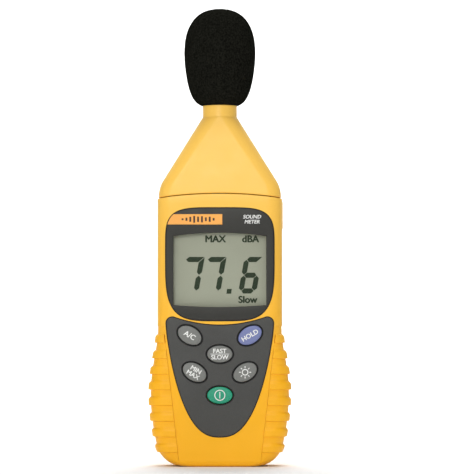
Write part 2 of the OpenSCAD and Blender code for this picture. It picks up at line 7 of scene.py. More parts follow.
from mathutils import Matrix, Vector


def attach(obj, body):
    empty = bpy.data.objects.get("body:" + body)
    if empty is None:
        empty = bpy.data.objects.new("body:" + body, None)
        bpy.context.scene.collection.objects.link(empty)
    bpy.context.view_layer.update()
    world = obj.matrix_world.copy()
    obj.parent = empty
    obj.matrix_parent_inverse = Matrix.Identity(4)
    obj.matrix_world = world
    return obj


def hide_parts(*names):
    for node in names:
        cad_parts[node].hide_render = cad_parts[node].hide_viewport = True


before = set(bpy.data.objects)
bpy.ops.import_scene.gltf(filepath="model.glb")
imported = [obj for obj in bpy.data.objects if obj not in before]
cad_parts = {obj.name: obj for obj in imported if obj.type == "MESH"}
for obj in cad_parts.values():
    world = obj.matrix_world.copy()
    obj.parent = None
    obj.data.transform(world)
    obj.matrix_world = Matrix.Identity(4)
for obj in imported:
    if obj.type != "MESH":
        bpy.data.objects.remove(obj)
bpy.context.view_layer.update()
mm = 0.001
full = 2 * math.pi
halfPi = math.pi / 2
print("frame loaded:", len(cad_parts), "CAD nodes")


# colour: linear base colour; vary: the share by which noise moves it; rough: middle roughness
# bump: height in mm and size in 1/m; gloss: specular level; metal and alpha as on the shader
# high: colour that the base turns to towards the top, a painted sheen that stands for the paler light on the
# upper case; speck: size of the fine grain in 1/m
# grain: brightness of the fine grain's palest points, 1 being none
finishes = {
    # the case pales towards the top through its high colour: painted sheen, not a colour of the plastic
    "case_plastic": dict(
        colour=(0.930, 0.455, 0.007), vary=0.03, rough=0.36, bump=(0.006, 5200),
        high=(0.925, 0.560, 0.100), gloss=0.36
    ),
    # the grips pale towards the top through their high colour: painted sheen, as on the case
    "grip_rubber": dict(
        colour=(0.930, 0.450, 0.007), vary=0.04, rough=0.46, bump=(0.010, 4200),
        high=(0.925, 0.560, 0.100), gloss=0.36
    ),
    "bezel_plastic": dict(
        colour=(0.040, 0.040, 0.036), vary=0.10, rough=0.40, bump=(0.006, 7000), gloss=0.22
    ),
    "panel_plastic": dict(
        colour=(0.070, 0.071, 0.068), vary=0.10, rough=0.48, bump=(0.008, 6500), gloss=0.22
    ),
    "clear_lens": dict(colour=(0.02, 0.02, 0.02), vary=0.01, rough=0.06, bump=(0.0005, 300), alpha=0.04),
    "badge_film": dict(colour=(0.900, 0.400, 0.075), vary=0.05, rough=0.38, bump=(0.003, 6000)),
    "black_plastic": dict(
        colour=(0.018, 0.018, 0.018), vary=0.15, rough=0.50, bump=(0.010, 5000), gloss=0.2
    ),
    "display_grey": dict(colour=(0.390, 0.410, 0.320), vary=0.03, rough=0.55, bump=(0.001, 3000), gloss=0.1),
    "light_guide": dict(colour=(0.780, 0.800, 0.720), vary=0.03, rough=0.45, bump=(0.004, 3000)),
    "silicone_grey": dict(colour=(0.150, 0.155, 0.160), vary=0.08, rough=0.60, bump=(0.010, 4000)),
    "key_grey": dict(colour=(0.190, 0.195, 0.185), vary=0.08, rough=0.50, bump=(0.008, 6500), gloss=0.3),
    "key_blue": dict(colour=(0.165, 0.195, 0.400), vary=0.08, rough=0.50, bump=(0.008, 6500)),
    "key_green": dict(colour=(0.014, 0.310, 0.180), vary=0.08, rough=0.45, bump=(0.008, 6500)),
    "circuit_board": dict(colour=(0.020, 0.120, 0.045), vary=0.15, rough=0.45, bump=(0.010, 2500)),
    "steel": dict(colour=(0.560, 0.570, 0.580), vary=0.08, rough=0.32, bump=(0.004, 4000), metal=1),
    "capacitor_sleeve": dict(colour=(0.020, 0.030, 0.090), vary=0.10, rough=0.35, bump=(0.004, 3000)),
    "ribbon_film": dict(colour=(0.640, 0.580, 0.450), vary=0.06, rough=0.45, bump=(0.004, 3000)),
    # a black sheet in the gaps round the bezel and the keypad: painted shade for the shadow in those gaps
    "black_rubber": dict(colour=(0.020, 0.020, 0.020), vary=0.15, rough=0.70, bump=(0.015, 4000), gloss=0.2),
    "foam": dict(
        colour=(0.0052, 0.0053, 0.0041), vary=0.12, rough=1.0, bump=(0.10, 1700),
        gloss=0.0, speck=1150, grain=2.4
    ),
    "trimmer_blue": dict(colour=(0.025, 0.090, 0.380), vary=0.06, rough=0.40, bump=(0.004, 3000)),
    "brass": dict(colour=(0.620, 0.400, 0.130), vary=0.08, rough=0.30, bump=(0.004, 3000), metal=1),
    "battery_jacket": dict(colour=(0.045, 0.052, 0.062), vary=0.10, rough=0.35, bump=(0.004, 3000)),
    "red_lead": dict(colour=(0.420, 0.020, 0.020), vary=0.08, rough=0.45, bump=(0.006, 3000)),
    "legend_white": dict(colour=(0.780, 0.790, 0.770), vary=0.04, rough=0.55, bump=(0.002, 6000)),
    "segment_ink": dict(colour=(0.038, 0.054, 0.034), vary=0.08, rough=0.55, bump=(0.001, 3000), gloss=0.05),
    "badge_ink": dict(colour=(0.060, 0.025, 0.012), vary=0.08, rough=0.50, bump=(0.001, 3000)),
}

# heights in metres between which a finish with a high colour turns to it: the span of the painted sheen
paintedSheenFrom = 0.045
paintedSheenTo = 0.150
plasticIor = 1.46


def link(tree, a, outName, b, inName):
    tree.links.new(a.outputs[outName], b.inputs[inName])


def noiseNode(tree, coords, scale, detail):
    node = tree.nodes.new("ShaderNodeTexNoise")
    node.inputs["Scale"].default_value = scale
    node.inputs["Detail"].default_value = detail
    link(tree, coords, "Object", node, "Vector")
    return node


# A finish: broad and fine noise move the colour, a third noise the roughness and a fourth the surface
def makeFinish(name, f):
    mat = bpy.data.materials.get(name) or bpy.data.materials.new(name)
    mat.use_nodes = True
    tree = mat.node_tree
    tree.nodes.clear()
    out = tree.nodes.new("ShaderNodeOutputMaterial")
    skin = tree.nodes.new("ShaderNodeBsdfPrincipled")
    coords = tree.nodes.new("ShaderNodeTexCoord")
    link(tree, skin, "BSDF", out, "Surface")
    skin.inputs["Metallic"].default_value = f.get("metal", 0)
    skin.inputs["Alpha"].default_value = f.get("alpha", 1)
    skin.inputs["IOR"].default_value = plasticIor
    skin.inputs["Specular IOR Level"].default_value = f.get("gloss", 0.5)

    broad = noiseNode(tree, coords, 38, 4)
    ramp = tree.nodes.new("ShaderNodeValToRGB")
    base = np.array(f["colour"])
    ramp.color_ramp.elements[0].position = 0.30
    ramp.color_ramp.elements[0].color = [*np.clip(base * (1 - f["vary"]), 0, 1), 1]
    ramp.color_ramp.elements[1].position = 0.70
    ramp.color_ramp.elements[1].color = [*np.clip(base * (1 + f["vary"] * 0.6), 0, 1), 1]
    link(tree, broad, "Fac", ramp, "Fac")
    speck = noiseNode(tree, coords, f.get("speck", 2600), 2)
    fine = tree.nodes.new("ShaderNodeMapRange")
    fine.inputs["From Min"].default_value = 0.35
    fine.inputs["From Max"].default_value = 0.65
    grainSpread = f["vary"] * 0.5
    fine.inputs["To Min"].default_value = max(0, 1 - grainSpread)
    fine.inputs["To Max"].default_value = f.get("grain", 1) + grainSpread
    link(tree, speck, "Fac", fine, "Value")
    grain = tree.nodes.new("ShaderNodeVectorMath")
    grain.operation = "MULTIPLY"
    if "high" in f:
        # the colour pales with height, to stand in for the haze that soft light gives the upper case
        split = tree.nodes.new("ShaderNodeSeparateXYZ")
        rise = tree.nodes.new("ShaderNodeMapRange")
        rise.inputs["From Min"].default_value = paintedSheenFrom
        rise.inputs["From Max"].default_value = paintedSheenTo
        paintedSheenMix = tree.nodes.new("ShaderNodeMix")
        paintedSheenMix.data_type = "RGBA"
        link(tree, coords, "Object", split, "Vector")
        link(tree, split, "Z", rise, "Value")
        link(tree, rise, "Result", paintedSheenMix, 0)
        link(tree, ramp, "Color", paintedSheenMix, 6)
        paintedSheenMix.inputs[7].default_value = [*f["high"], 1]
        tree.links.new(paintedSheenMix.outputs[2], grain.inputs[0])
    else:
        link(tree, ramp, "Color", grain, 0)
    link(tree, fine, "Result", grain, 1)
    link(tree, grain, "Vector", skin, "Base Color")

    wear = noiseNode(tree, coords, 160, 6)
    spread = tree.nodes.new("ShaderNodeMapRange")
    spread.inputs["From Min"].default_value = 0.30
    spread.inputs["From Max"].default_value = 0.70
    spread.inputs["To Min"].default_value = max(0.02, f["rough"] - 0.06)
    spread.inputs["To Max"].default_value = min(1, f["rough"] + 0.06)
    link(tree, wear, "Fac", spread, "Value")
    link(tree, spread, "Result", skin, "Roughness")

    height, size = f["bump"]
    texture = noiseNode(tree, coords, size, 3)
    bump = tree.nodes.new("ShaderNodeBump")
    bump.inputs["Strength"].default_value = 1
    bump.inputs["Distance"].default_value = height * mm
    link(tree, texture, "Fac", bump, "Height")
    link(tree, bump, "Normal", skin, "Normal")
    return mat


paints = {name: makeFinish(name, f) for name, f in finishes.items()}
print("finishes made:", len(paints))


# Quads of a grid of points, rows by cols, closed across either way if asked
def gridFaces(rows, cols, wrapRows=False, wrapCols=False):
    i, j = np.meshgrid(
        np.arange(rows - (not wrapRows)), np.arange(cols - (not wrapCols)), indexing="ij"
    )
    i2 = (i + 1) % rows
    j2 = (j + 1) % cols
    return np.stack([i * cols + j, i2 * cols + j, i2 * cols + j2, i * cols + j2], -1).reshape(-1, 4)


def addObject(name, data):
    obj = bpy.data.objects.new(name, data)
    bpy.context.scene.collection.objects.link(obj)
    return obj


def makeObject(name, verts, faces, merge=0.0004):
    mesh = bpy.data.meshes.new(name)
    mesh.from_pydata((np.asarray(verts).reshape(-1, 3) * mm).tolist(), [], faces.tolist())
    bm = bmesh.new()
    bm.from_mesh(mesh)
    bmesh.ops.remove_doubles(bm, verts=bm.verts, dist=merge * mm)
    bmesh.ops.dissolve_degenerate(bm, edges=bm.edges, dist=merge * mm)
    bmesh.ops.recalc_face_normals(bm, faces=bm.faces)
    bm.to_mesh(mesh)
    bm.free()
    return addObject(name, mesh)


# A skin of some thickness: two grids of the same shape, joined all round their rims
def patchSolid(name, outer, inner):
    rows, cols = outer.shape[:2]
    count = rows * cols
    index = np.arange(count).reshape(rows, cols)
    loop = np.concatenate([index[0], index[1:, -1], index[-1, -2::-1], index[-2:0:-1, 0]])
    after = np.roll(loop, -1)
    rim = np.stack([loop, loop + count, after + count, after], -1)
    skin = gridFaces(rows, cols)
    verts = np.concatenate([outer.reshape(-1, 3), inner.reshape(-1, 3)])
    return makeObject(name, verts, np.concatenate([skin, skin[:, ::-1] + count, rim]))


# A closed outline in x and z, moved inwards along its own normals
def inset(outline, amount):
    ahead = np.roll(outline, -1, 0) - np.roll(outline, 1, 0)
    ahead /= np.linalg.norm(ahead, axis=1, keepdims=True)
    side = np.stack([-ahead[:, 1], ahead[:, 0]], 1)
    x, z = outline.T
    turning = np.sum(x * np.roll(z, -1) - np.roll(x, -1) * z)
    return outline + side * amount * np.sign(turning)


def ringAt(outline, y):
    return np.stack([outline[:, 0], np.full(len(outline), y), outline[:, 1]], 1)


# A plate through the depth from y0 in front to y1, with its front edge rounded by radius r
def roundedPlate(name, outline, y0, y1, r=0.0, steps=5, crown=0.0, rings=1):
    middle = outline.mean(0)
    rows = [ringAt(outline * 0 + middle, y1), ringAt(outline, y1)]
    for k in range(steps + 1):
        a = halfPi * k / steps
        rows.append(ringAt(inset(outline, r * (1 - math.cos(a))), y0 + crown + r * (1 - math.sin(a))))
    face = inset(outline, r)
    for k in range(1, rings + 1):
        t = k / rings
        rows.append(ringAt(face + (middle - face) * t, y0 + crown * (1 - t) ** 2))
    grid = np.array(rows)
    return makeObject(name, grid, gridFaces(len(rows), len(outline), wrapCols=True))


# A frame between two outlines that have the same number of points, both edges rounded
def roundedFrame(name, outer, inner, y0, y1, rOut, rIn, steps=4):
    rows = [ringAt(outer, y1)]
    for k in range(steps + 1):
        a = halfPi * k / steps
        rows.append(ringAt(inset(outer, rOut * (1 - math.cos(a))), y0 + rOut * (1 - math.sin(a))))
    for k in range(steps, -1, -1):
        a = halfPi * k / steps
        rows.append(ringAt(inset(inner, -rIn * (1 - math.cos(a))), y0 + rIn * (1 - math.sin(a))))
    rows.append(ringAt(inner, y1))
    return makeObject(name, np.array(rows), gridFaces(len(rows), len(outer), True, True))


# An outline taken again at even angles round a centre, so that two can be joined point to point
def byAngle(outline, centre, count):
    d = outline - centre
    angle = np.arctan2(d[:, 1], d[:, 0])
    order = np.argsort(angle)
    want = np.linspace(-math.pi, math.pi, count, endpoint=False)
    radius = np.interp(want, angle[order], np.hypot(*d.T)[order], period=full)
    return centre + np.stack([radius * np.cos(want), radius * np.sin(want)], 1)


def boxMesh(name, x, y, z):
    grid = np.array([[[x[i], y[j], z[k]] for k in (0, 1) for j in (0, 1)] for i in (0, 1)])
    verts = grid.reshape(-1, 3)
    faces = np.array([[0, 1, 3, 2], [4, 6, 7, 5], [0, 4, 5, 1], [2, 3, 7, 6], [0, 2, 6, 4], [1, 5, 7, 3]])
    return makeObject(name, verts, faces)


def circlePoints(x, z, r, count=64):
    a = np.linspace(0, full, count, endpoint=False)
    return np.stack([x + r * np.cos(a), z + r * np.sin(a)], 1)


# Cuts the tools out of the target for good, and removes them
def carve(target, tools):
    for tool in tools:
        step = target.modifiers.new("carve", "BOOLEAN")
        step.operation = "DIFFERENCE"
        step.solver = "EXACT"
        step.object = tool
    graph = bpy.context.evaluated_depsgraph_get()
    made = bpy.data.meshes.new_from_object(target.evaluated_get(graph))
    old = target.data
    target.modifiers.clear()
    target.data = made
    bpy.data.meshes.remove(old)
    made.name = target.name
    bm = bmesh.new()
    bm.from_mesh(made)
    bmesh.ops.remove_doubles(bm, verts=bm.verts, dist=2e-6)
    bmesh.ops.dissolve_degenerate(bm, edges=bm.edges, dist=1e-6)
    bmesh.ops.holes_fill(bm, edges=[e for e in bm.edges if e.is_boundary], sides=12)
    bm.to_mesh(made)
    bm.free()
    for tool in tools:
        skin = tool.data
        bpy.data.objects.remove(tool)
        bpy.data.meshes.remove(skin)
    return target


# Gives a finished piece its paint, its shading and its body, and hides the CAD parts it replaces
def settle(obj, body, paint, replaces=(), sharp=34):
    mesh = obj.data
    mesh.materials.clear()
    mesh.materials.append(paints[paint])
    mesh.shade_smooth()
    mesh.set_sharp_from_angle(angle=math.radians(sharp))
    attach(obj, body)
    if replaces:
        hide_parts(*replaces)
    return obj


# Smooth noise from 0 to 1: random values on a lattice, blended with a cubic step
def softNoise(points, size, seed):
    table = np.random.default_rng(seed).random((32, 32, 32))
    p = points / size
    cell = np.floor(p).astype(int)
    f = p - cell
    f = f * f * (3 - 2 * f)
    total = 0
    for corner in range(8):
        c = np.array([corner & 1, corner >> 1 & 1, corner >> 2 & 1])
        weight = np.prod(np.where(c, f, 1 - f), axis=-1)
        at = (cell + c) % 32
        total = total + weight * table[at[..., 0], at[..., 1], at[..., 2]]
    return total


# The case in millimetres, with the CAD's measures
case = dict(
    halfWidth=31.5, depth=16.5, wall=2.4, edge=7.0, footCorner=10.0, footRound=3.0,
    gripTop=70.6, stepZ=69.6, bulge=3.7, fullest=37.0, taper=6.4, gripStep=0.3, gripThick=1.2,
    seam=137.2, seamBow=2.3, lineTop=28.2, lineLow=20.2, lip=0.35,
)


def quarterRound(r, z):
    inside = np.clip(r - z, 0, r)
    return r - np.sqrt(r * r - inside ** 2)


# Half width of the case: a parabola under the fullest height, a softer fall above it
def caseWidth(z):
    c = case
    low = c["bulge"] - c["taper"] * ((c["fullest"] - z) / c["fullest"]) ** 2
    up = c["bulge"] * (1 - np.clip((z - c["fullest"]) / (c["stepZ"] - c["fullest"]), 0, 1) ** 2) ** 2
    bulge = np.where(z < c["fullest"], low, up)
    step = np.where(z < c["gripTop"] - 0.02, c["gripStep"], 0)
    return c["halfWidth"] - step + bulge - quarterRound(c["footCorner"], np.clip(z, 0, None))


def caseDepth(z):
    return case["depth"] - quarterRound(case["footRound"], np.clip(z, 0, None))


def seamAt(x):
    return case["seam"] - case["seamBow"] * (x / case["halfWidth"]) ** 2


# A quarter of a rounded rectangle: q from 0 to 1 runs up the side, to 2 round the corner, to 3 along
def quarterPoint(w, d, r, q):
    a = np.clip(q, 0, 1)
    b = np.clip(q - 1, 0, 1) * halfPi
    c = np.clip(q - 2, 0, 1)
    return (w - r) * (1 - c) + r * np.cos(b), (d - r) * a + r * np.sin(b)


def footHeights():
    a = np.linspace(0, halfPi, 22)
    low = case["footRound"] * (1 - np.cos(a[:12]))
    return np.unique(np.concatenate([low, case["footCorner"] * (1 - np.cos(a))]).round(4))


# One half of the case as a bowl: outer skin, inner skin a wall away, and the split plane between them
def caseHalf(name, side):
    q = np.concatenate([np.linspace(0, 1, 9), np.linspace(1, 2, 19)[1:], np.linspace(2, 3, 25)[1:]])
    q = np.concatenate([q, q[-2::-1]])
    sign = np.where(np.arange(len(q)) < len(q) / 2, 1, -1)
    lower = np.concatenate([footHeights(), np.arange(12, 70, 2.0), [70.3, 70.6]])
    rounded = 1 - 0.004 * (1 - np.sin(np.linspace(0, halfPi, 5)))
    upper = np.concatenate([np.linspace(0, 1, 16)[1:-1], rounded])
    split = 0.05
    skins = []
    for off in (0, case["wall"]):
        r = case["edge"] - off
        floor = off if off else 0
        z = np.clip(lower, floor, None)[:, None]
        x, y = quarterPoint(caseWidth(z) - off, caseDepth(z) - off, r, q[None])
        low = np.stack([x * sign, y, z + 0 * x], -1)
        top = seamAt(low[-1, :, 0]) - 0.2
        z = case["gripTop"] + (top - case["gripTop"]) * upper[:, None]
        nearSeam = np.clip((upper - 0.996) / 0.004, 0, 1)
        lipDrop = 0 if off else case["lip"] * (1 - np.sin(np.arccos(nearSeam)))
        w = case["halfWidth"] - off - lipDrop
        w = np.broadcast_to(np.asarray(w), (len(upper),))[:, None]
        d = np.broadcast_to(np.asarray(case["depth"] - off - lipDrop), (len(upper),))[:, None]
        x, y = quarterPoint(w, d, r, q[None])
        high = np.stack([x * sign, y, z], -1)
        foot = low[0].copy()
        foot[:, 1] = split
        grid = np.concatenate([foot[None], low, high])
        grid[..., 1] = side * np.maximum(grid[..., 1], split)
        skins.append(grid)
    return patchSolid(name, *skins)


def edgeLine(z):
    return case["lineLow"] + (case["lineTop"] - case["lineLow"]) * z / case["gripTop"]


# Path of a grip across one height, from its front edge round the side to its back edge.
# t runs from -1 at the front to 1 at the back; the corner is cut short where the edge line meets it
def gripPath(w, d, r, line, t):
    turn = np.arccos(np.clip((line - (w - r)) / r, 0, 1))
    flat = np.clip(w - r - line, 0, None)
    length = (d - r) + r * turn + flat
    s = np.abs(t) * length
    a = np.clip((s - (d - r)) / r, 0, None)
    a = np.minimum(a, turn)
    x = (w - r) + r * np.cos(a) - np.clip(s - (d - r) - r * turn, 0, None)
    y = np.minimum(s, d - r) + r * np.sin(a)
    return x, np.sign(t) * y, length


grip = dict(ribs=8, pitch=7.85, firstRib=64.2, ribHeight=4.4, ribOut=1.15, lip=0.2)


# How far a rib stands out at height z: a steep lower edge, a round crest and a soft upper slope
def ribShape(z):
    g = grip
    phase = (z - (g["firstRib"] - g["pitch"] * (g["ribs"] - 1)) + g["pitch"] / 2) / g["pitch"]
    local = (phase - np.floor(phase) - 0.5) * g["pitch"] / (g["ribHeight"] / 2)
    inside = (phase > 0) & (phase < g["ribs"])
    rise = np.clip((local + 1.0) / 0.16, 0, 1)
    fall = np.clip((1.08 - local) / 0.75, 0, 1)
    soft = (1 - (1 - rise) ** 2) * np.sin(fall * halfPi) ** 0.8
    return np.where(inside, soft, 0)


def gripHeights():
    g = grip
    mids = g["firstRib"] - g["pitch"] * np.arange(g["ribs"])
    edges = (mids[:, None] - g["ribHeight"] / 2 + np.linspace(-0.1, 0.45, 7)).ravel()
    tops = (mids[:, None] + np.linspace(-1.2, 2.4, 12)).ravel()
    low = footHeights()
    rows = np.arange(11, 70.2, 1.0)
    z = np.concatenate([low[low > 0.7], [0.72], rows, edges, tops, [69.9, 70.2, 70.4, 70.5]])
    return np.unique(z.round(3))


def gripMesh(name, side, cutter=False):
    gap = -0.03 if cutter else 0.03
    z = np.concatenate([[-1, -0.5], gripHeights(), [70.55]]) if cutter else gripHeights()
    z = z[:, None]
    half = np.concatenate([np.linspace(0, 0.93, 30), np.linspace(0.94, 1, 14)])
    t = np.concatenate([-half[::-1], half[1:]])[None]
    line = edgeLine(z) + gap
    grids = []
    for layer in ("out", "in"):
        if layer == "in":
            off = -case["gripThick"] + (0 if cutter else 0.1)
        else:
            off = 3.0 if cutter else 0.0
        w = np.maximum(caseWidth(np.clip(z, 0.3, None)) + off, line + 0.04)
        d = caseDepth(z) + off
        r = case["edge"] + off
        x, y, length = gripPath(w, d, r, line, t)
        if layer == "out" and not cutter:
            # the ribs stand less proud on the flat faces than at the side
            rib = ribShape(z) * grip["ribOut"]
            corner = np.clip((np.abs(y) - (d - r)) / r, 0, 1)
            nx = np.sqrt(1 - corner ** 2 * 0.9999)
            away = np.clip((1 - np.abs(t)) * length / grip["lip"], 0, 1)
            topAway = np.clip((case["gripTop"] - z) / grip["lip"], 0, 1)
            drop = grip["lip"] * (2 - np.sqrt(1 - (1 - away) ** 2) - np.sqrt(1 - (1 - topAway) ** 2))
            drop = np.minimum(drop, grip["lip"])
            x = x + nx * rib - nx * drop
            y = y + np.sign(y) * corner * (rib * 0.6 - drop)
        grids.append(np.stack([side * x, y, z + 0 * x], -1))
    return patchSolid(name, *grids)


# Bezel, window and keypad outlines, in x and z
display = dict(
    halfWidth=27.05, middle=107.99, top=129.8, low=73.3, topPower=4.5, lowPower=4.1,
    windowHalf=23.3, windowTop=117.4, windowLow=80.1, topSag=1.7, lowSag=1.0,
    faceY=-16.8, backY=-15.0, edge=0.55, windowEdge=0.35, seatGap=0.42, middleZ=98.7,
    # the black ring of painted shade in the gaps: how far it reaches out and in, and the depth of its front
    gapShadeOut=0.46, gapShadeIn=0.1, gapShadeY=-16.45,
)


def signedPower(v, n):
    return np.sign(v) * np.abs(v) ** (2 / n)


# Superellipse with a different power and height above and below its widest place
def bezelOutline(count=360):
    d = display
    a = np.linspace(0, full, count, endpoint=False)
    n = np.where(np.sin(a) > 0, d["topPower"], d["lowPower"])
    rise = np.where(np.sin(a) > 0, d["top"] - d["middle"], d["middle"] - d["low"])
    x = d["halfWidth"] * signedPower(np.cos(a), n)
    return np.stack([x, d["middle"] + rise * signedPower(np.sin(a), n)], 1)


# The window bows out at its top and bottom in parabolas and has straight sides
def windowOutline(count=60):
    d = display
    u = np.linspace(-1, 1, count)
    top = np.stack([u * d["windowHalf"], d["windowTop"] - d["topSag"] * u * u], 1)
    low = np.stack([-u * d["windowHalf"], d["windowLow"] + d["lowSag"] * u * u], 1)
    side = np.linspace(0, 1, count)[1:-1, None]
    right = top[-1] + (low[0] - top[-1]) * side
    left = low[-1] + (top[0] - low[-1]) * side
    return np.concatenate([top, right, low, left])


keypad = dict(
    halfWidth=26.8, shoulder=72.0, low=15.1, corner=3.0, sag=1.1, faceY=-16.8, backY=-15.4, edge=0.5
)


# A deep shield: power curves down both sides, round shoulders, a top edge that sags in a parabola
def panelOutline():
    k = keypad
    a = np.linspace(0, halfPi, 90)
    side = np.stack([
        k["halfWidth"] * np.sin(a) ** 0.8,
        k["shoulder"] - (k["shoulder"] - k["low"]) * np.cos(a) ** (2 / 1.35),
    ], 1)
    b = np.radians(np.linspace(0, 100, 16))[1:]
    shoulder = np.stack([
        k["halfWidth"] - k["corner"] + k["corner"] * np.cos(b), k["shoulder"] + k["corner"] * np.sin(b)
    ], 1)
    u = 1 - np.linspace(0, 1, 40)[1:]
    middle = k["shoulder"] - k["sag"]
    top = np.stack([shoulder[-1, 0] * u, middle + (shoulder[-1, 1] - middle) * u * u], 1)
    half = np.concatenate([side, shoulder, top])
    return np.concatenate([half, half[-2:0:-1] * [-1, 1]])


# x, z, tilt in degrees, body, paint
keys = {
    "weighting": (-15.1, 65.9, -30, "key_grey"),
    "hold": (15.1, 65.9, 30, "key_blue"),
    "response": (0, 56.5, 0, "key_grey"),
    "minmax": (-12.65, 47.4, -30, "key_grey"),
    "backlight": (12.65, 47.4, 30, "key_grey"),
    "power": (0, 35.9, 0, "key_green"),
}
cap = dict(a=6.35, b=4.25, gap=0.45, frontY=-17.8, backY=-14.6, edge=0.75, crown=0.12, rim=0.42)


def placed(points, x, z, tilt):
    a = math.radians(tilt)
    turn = np.array([[math.cos(a), math.sin(a)], [-math.sin(a), math.cos(a)]])
    return points @ turn + [x, z]


def keyOutline(key, grow, count=120):
    x, z, tilt = keys[key][:3]
    a = np.linspace(0, full, count, endpoint=False)
    points = np.stack([(cap["a"] + grow) * np.cos(a), (cap["b"] + grow) * np.sin(a)], 1)
    return placed(points, x, z, tilt)


# What the two halves are cut for: across x, through y and up z, or x, z and radius
holes = dict(
    throughFront=(-18, -12), coverX=(30.4, 40), coverY=(-4.8, 4.8), coverZ=(119.2, 134),
    doorX=(-16.5, 16.5), doorY=(12, 20), doorZ=(7.5, 66), tripod=(0, 98, 5.1), tripodY=(8, 20),
    screws=((-16, 129.5), (16, 129.5), (-19.2, 13), (19.2, 13)), screwR=2.45, screwY=(10, 20),
    keyGap=0.6, windowGap=1.1,
)


# The front and rear halves of the case, with their openings cut
def buildCase():
    h = holes
    front = caseHalf("frontCase", -1)
    grown = inset(bezelOutline(), -display["seatGap"])
    window = byAngle(windowOutline(), np.array([0, display["middleZ"]]), 300)
    tools = [
        roundedPlate("cutBezel", grown, h["throughFront"][0], display["backY"] + 0.1),
        roundedPlate("cutWindow", inset(window, -h["windowGap"]), *h["throughFront"]),
        roundedPlate(
            "cutPanel", inset(panelOutline(), -display["seatGap"]),
            h["throughFront"][0], keypad["backY"] + 0.1
        ),
        gripMesh("cutLeft", -1, True),
        gripMesh("cutRight", 1, True),
        boxMesh("cutCover", h["coverX"], h["coverY"], h["coverZ"]),
    ]
    for key in keys:
        tools.append(roundedPlate("cutKey", keyOutline(key, h["keyGap"]), *h["throughFront"]))
    carve(front, tools)
    settle(front, "meter", "case_plastic", replaces=["front_case"])

    back = caseHalf("rearCase", 1)
    tools = [
        gripMesh("cutLeft", -1, True),
        gripMesh("cutRight", 1, True),
        boxMesh("cutCover", h["coverX"], h["coverY"], h["coverZ"]),
        boxMesh("cutDoor", h["doorX"], h["doorY"], h["doorZ"]),
        roundedPlate("cutTripod", circlePoints(*h["tripod"]), *h["tripodY"]),
    ]
    for x, z in h["screws"]:
        tools.append(roundedPlate("cutScrew", circlePoints(x, z, h["screwR"]), *h["screwY"]))
    carve(back, tools)
    settle(back, "meter", "case_plastic", replaces=["rear_case"])


nose = dict(
    shoulder=136.0, half=30.9, arc=15.4, coneStart=144.02, coneHalf=28.645, slope=31.4, top=176.21,
    neck=8.7, neckTop=190.21, neckMiddle=184, neckEdge=0.5, bore=7.0, boreLow=3,
    depth=16.2, tip=9.0, wall=2.4,
)


# Half width of the nose: upright, then a round shoulder, then a straight slope
def noseWidth(z):
    n = nose
    arc = n["half"] - n["arc"] + np.sqrt(np.clip(n["arc"] ** 2 - (z - n["shoulder"]) ** 2, 0, None))
    cone = n["coneHalf"] - (z - n["coneStart"]) * math.tan(math.radians(n["slope"]))
    return np.where(z < n["shoulder"], n["half"], np.where(z < n["coneStart"], arc, cone))


def noseRing(z, off, q, signX, signY, lip=0):
    n = nose
    t = np.clip((z - n["shoulder"]) / (n["top"] - n["shoulder"]), 0, 1)
    w = noseWidth(z) - off - lip
    d = n["depth"] + (n["tip"] - n["depth"]) * t ** 1.25 - off - lip
    r = case["edge"] + (n["tip"] - case["edge"]) * t - off
    w = np.maximum(w, r + 0.001)
    d = np.maximum(d, r + 0.001)
    x, y = quarterPoint(w, d, r, q)
    return x * signX, y * signY


# The nose as one closed sleeve: up the outside, over the neck, down the bore and the inside
def buildNose():
    n = nose
    one = np.concatenate([np.linspace(0, 1, 9), np.linspace(1, 2, 25)[1:], np.linspace(2, 3, 21)[1:]])
    q = np.concatenate([one, one[-2::-1], one[1:], one[-2:0:-1]])
    quadrant = np.concatenate([
        np.zeros(len(one)), np.ones(len(one) - 1), np.full(len(one) - 1, 2), np.full(len(one) - 2, 3)
    ])
    signX = np.where((quadrant == 0) | (quadrant == 3), 1, -1)
    signY = np.where(quadrant < 2, -1, 1)
    x0, y0 = noseRing(np.full(len(q), n["shoulder"] - 1.0), 0, q, signX, signY)
    bottom = seamAt(x0) + 0.2
    lipSteps = np.linspace(0, 1, 5)
    rows = []
    for k in lipSteps:
        z = bottom + case["lip"] * k
        x, y = noseRing(z, 0, q, signX, signY, case["lip"] * (1 - math.sqrt(1 - (1 - k) ** 2)))
        rows.append(np.stack([x, y, z], 1))
    for t in np.concatenate([np.linspace(0, 0.25, 26)[1:], np.linspace(0.25, 1, 40)[1:]]):
        z = bottom + case["lip"] + (n["top"] - bottom - case["lip"]) * t
        x, y = noseRing(z, 0, q, signX, signY)
        rows.append(np.stack([x, y, z], 1))
    ahead = rows[-1][:, :2] / np.linalg.norm(rows[-1][:, :2], axis=1, keepdims=True)

    def around(r, z):
        rows.append(np.concatenate([ahead * r, np.full((len(ahead), 1), z)], 1))

    for k in np.linspace(0, 1, 5)[1:]:
        around(n["tip"] - (n["tip"] - n["neck"]) * k, n["top"] + 0.9 * k ** 2)
    around(n["neck"], n["neckMiddle"])
    for k in np.linspace(0, halfPi, 5):
        edge = n["neckEdge"]
        around(n["neck"] - edge * (1 - math.cos(k)), n["neckTop"] - edge * (1 - math.sin(k)))
    around(n["bore"], n["neckTop"])
    around(n["bore"], n["top"] - n["boreLow"])
    for t in np.linspace(0.92, 0, 14):
        z = bottom + (n["top"] - bottom) * t
        x, y = noseRing(z, n["wall"], q, signX, signY)
        rows.append(np.stack([x, y, z], 1))
    made = makeObject("noseShell", np.array(rows), gridFaces(len(rows), len(q), True, True))
    settle(made, "meter", "case_plastic", replaces=["nose_cone"])


def buildGrips():
    settle(gripMesh("leftGrip", -1), "meter", "grip_rubber", replaces=["left_grip"], sharp=42)
    settle(gripMesh("rightGrip", 1), "meter", "grip_rubber", replaces=["right_grip"], sharp=42)


